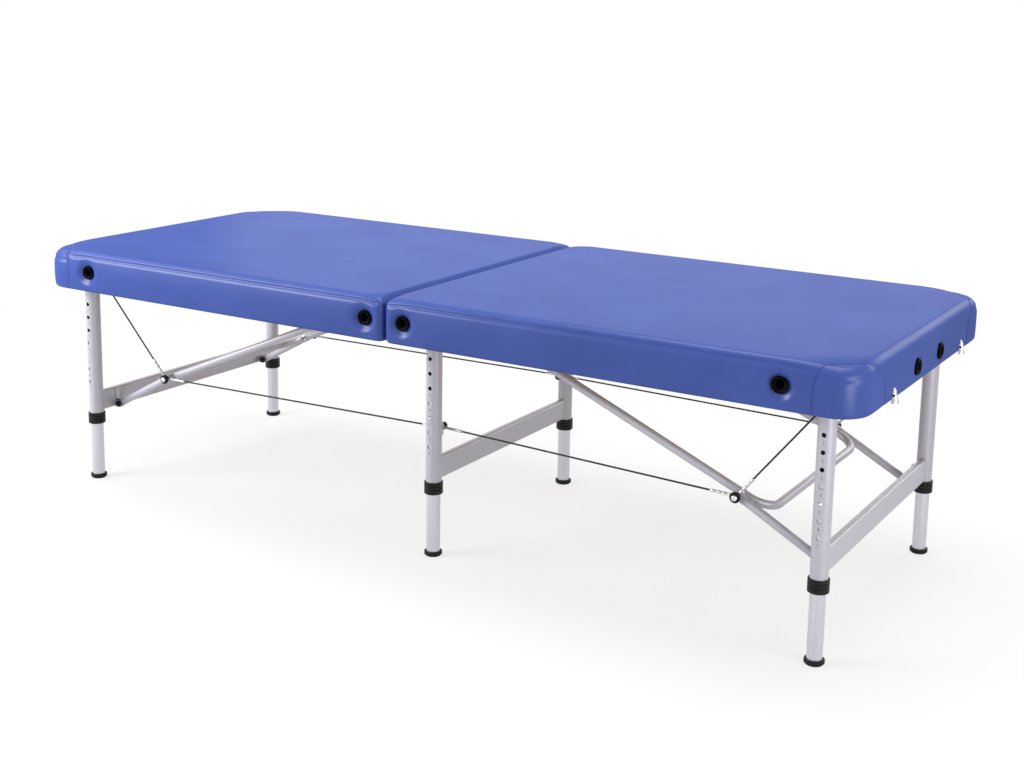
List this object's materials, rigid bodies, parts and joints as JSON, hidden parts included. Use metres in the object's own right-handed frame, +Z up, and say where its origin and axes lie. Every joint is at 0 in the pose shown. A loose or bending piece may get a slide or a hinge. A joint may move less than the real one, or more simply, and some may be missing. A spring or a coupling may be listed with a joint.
{
  "type": "folding therapy table",
  "caption": "Portable padded therapy table on telescopic folding aluminium legs, hinged across the middle so that it folds flat with the legs inside.",
  "frame": {"origin": "on the floor under the middle of the fold line", "axes": "+X along the table towards the end with the catches, -Y the near long side, +Z up"},
  "size_m": [1.889, 0.75, 0.546],
  "materials": {
    "vinyl": "satin",
    "foam": "matte",
    "plywood": "satin",
    "rail_wood": "satin",
    "black_plastic": "satin",
    "foot_rubber": "matte",
    "frame_tube": "satin",
    "bright_tube": "brushed",
    "steel": "satin",
    "chrome": "polished",
    "cable": "satin"
  },
  "bodies": {
    "right_panel": {"right_cover": "vinyl", "right_foam": "foam", "right_board": "plywood", "right_rails": "rail_wood", "right_sockets": "black_plastic", "right_brackets": "steel", "catches": "chrome", "right_hinge_leaves": "steel", "hinge_pins": "steel", "right_fold_cables": "cable", "right_end_cables": "cable"},
    "left_panel": {"left_cover": "vinyl", "left_foam": "foam", "left_board": "plywood", "left_rails": "rail_wood", "left_sockets": "black_plastic", "left_brackets": "steel", "left_hinge_leaves": "steel", "left_fold_cables": "cable", "left_end_cables": "cable"},
    "left_legs": {"left_near_outer_tube": "frame_tube", "left_far_outer_tube": "frame_tube", "left_crossbar": "frame_tube", "left_collars": "black_plastic", "left_strut_lugs": "steel"},
    "left_near_inner": {"left_near_inner_tube": "bright_tube", "left_near_foot": "foot_rubber"},
    "left_near_snap": {"left_near_button": "chrome"},
    "left_far_inner": {"left_far_inner_tube": "bright_tube", "left_far_foot": "foot_rubber"},
    "left_far_snap": {"left_far_button": "chrome"},
    "mid_legs": {"mid_near_outer_tube": "frame_tube", "mid_far_outer_tube": "frame_tube", "mid_crossbar": "frame_tube", "mid_collars": "black_plastic", "mid_cable_clips": "steel"},
    "mid_near_inner": {"mid_near_inner_tube": "bright_tube", "mid_near_foot": "foot_rubber"},
    "mid_near_snap": {"mid_near_button": "chrome"},
    "mid_far_inner": {"mid_far_inner_tube": "bright_tube", "mid_far_foot": "foot_rubber"},
    "mid_far_snap": {"mid_far_button": "chrome"},
    "right_legs": {"right_near_outer_tube": "frame_tube", "right_far_outer_tube": "frame_tube", "right_crossbar": "frame_tube", "right_collars": "black_plastic", "right_strut_lugs": "steel"},
    "right_near_inner": {"right_near_inner_tube": "bright_tube", "right_near_foot": "foot_rubber"},
    "right_near_snap": {"right_near_button": "chrome"},
    "right_far_inner": {"right_far_inner_tube": "bright_tube", "right_far_foot": "foot_rubber"},
    "right_far_snap": {"right_far_button": "chrome"},
    "right_brace_arm": {"right_brace": "frame_tube", "right_knuckle_bolts": "chrome"},
    "right_strut_pair": {"right_struts": "frame_tube"},
    "left_brace_arm": {"left_brace": "frame_tube", "left_knuckle_bolts": "chrome"},
    "left_strut_pair": {"left_struts": "frame_tube"}
  },
  "joints": [
    {"name": "panel_fold", "type": "hinge", "parent": "right_panel", "child": "left_panel", "pos_m": [0, 0, 0.4475], "axis": [0, -1, 0], "range_deg": [0, 180], "deforming": ["right_fold_cables", "right_end_cables", "left_fold_cables", "left_end_cables"]},
    {"name": "right_leg_fold", "type": "hinge", "parent": "right_panel", "child": "right_legs", "pos_m": [0.87, 0, 0.473], "axis": [0, 1, 0], "range_deg": [0, 90.05]},
    {"name": "mid_leg_fold", "type": "hinge", "parent": "right_panel", "child": "mid_legs", "pos_m": [0.041, 0, 0.473], "axis": [0, -1, 0], "range_deg": [0, 90.05]},
    {"name": "left_leg_fold", "type": "hinge", "parent": "left_panel", "child": "left_legs", "pos_m": [-0.87, 0, 0.473], "axis": [0, -1, 0], "range_deg": [0, 90.05]},
    {"name": "right_brace_fold", "type": "hinge", "parent": "right_panel", "child": "right_brace_arm", "pos_m": [0.105, 0, 0.497], "axis": [0, -1, 0], "range_deg": [0, 22.94]},
    {"name": "left_brace_fold", "type": "hinge", "parent": "left_panel", "child": "left_brace_arm", "pos_m": [-0.105, 0, 0.497], "axis": [0, 1, 0], "range_deg": [0, 22.94]},
    {"name": "right_strut_fold", "type": "hinge", "parent": "right_legs", "child": "right_strut_pair", "pos_m": [0.846, 0, 0.16567], "axis": [0, 1, 0], "range_deg": [0, 61.66]},
    {"name": "left_strut_fold", "type": "hinge", "parent": "left_legs", "child": "left_strut_pair", "pos_m": [-0.846, 0, 0.16567], "axis": [0, -1, 0], "range_deg": [0, 61.66]},
    {"name": "left_near_height", "type": "slide", "parent": "left_legs", "child": "left_near_inner", "axis": [0, 0, 1], "range_m": [-0.06, 0.12]},
    {"name": "left_near_press", "type": "slide", "parent": "left_near_inner", "child": "left_near_snap", "axis": [0, 1, 0], "range_m": [0, 0.006], "stiffness_N_per_m": 600, "springref_m": -0.006},
    {"name": "left_far_height", "type": "slide", "parent": "left_legs", "child": "left_far_inner", "axis": [0, 0, 1], "range_m": [-0.06, 0.12]},
    {"name": "left_far_press", "type": "slide", "parent": "left_far_inner", "child": "left_far_snap", "axis": [0, -1, 0], "range_m": [0, 0.006], "stiffness_N_per_m": 600, "springref_m": -0.006},
    {"name": "mid_near_height", "type": "slide", "parent": "mid_legs", "child": "mid_near_inner", "axis": [0, 0, 1], "range_m": [-0.06, 0.12]},
    {"name": "mid_near_press", "type": "slide", "parent": "mid_near_inner", "child": "mid_near_snap", "axis": [0, 1, 0], "range_m": [0, 0.006], "stiffness_N_per_m": 600, "springref_m": -0.006},
    {"name": "mid_far_height", "type": "slide", "parent": "mid_legs", "child": "mid_far_inner", "axis": [0, 0, 1], "range_m": [-0.06, 0.12]},
    {"name": "mid_far_press", "type": "slide", "parent": "mid_far_inner", "child": "mid_far_snap", "axis": [0, -1, 0], "range_m": [0, 0.006], "stiffness_N_per_m": 600, "springref_m": -0.006},
    {"name": "right_near_height", "type": "slide", "parent": "right_legs", "child": "right_near_inner", "axis": [0, 0, 1], "range_m": [-0.06, 0.12]},
    {"name": "right_near_press", "type": "slide", "parent": "right_near_inner", "child": "right_near_snap", "axis": [0, 1, 0], "range_m": [0, 0.006], "stiffness_N_per_m": 600, "springref_m": -0.006},
    {"name": "right_far_height", "type": "slide", "parent": "right_legs", "child": "right_far_inner", "axis": [0, 0, 1], "range_m": [-0.06, 0.12]},
    {"name": "right_far_press", "type": "slide", "parent": "right_far_inner", "child": "right_far_snap", "axis": [0, -1, 0], "range_m": [0, 0.006], "stiffness_N_per_m": 600, "springref_m": -0.006}
  ],
  "couplings": [
    {"joint": "right_leg_fold", "follows": "panel_fold", "ratio": 0.5},
    {"joint": "mid_leg_fold", "follows": "panel_fold", "ratio": 0.5},
    {"joint": "left_leg_fold", "follows": "panel_fold", "ratio": 0.5},
    {"joint": "right_brace_fold", "follows": "panel_fold", "ratio": 0.12717},
    {"joint": "left_brace_fold", "follows": "panel_fold", "ratio": 0.12717},
    {"joint": "right_strut_fold", "follows": "panel_fold", "ratio": 0.34226},
    {"joint": "left_strut_fold", "follows": "panel_fold", "ratio": 0.34226}
  ]
}
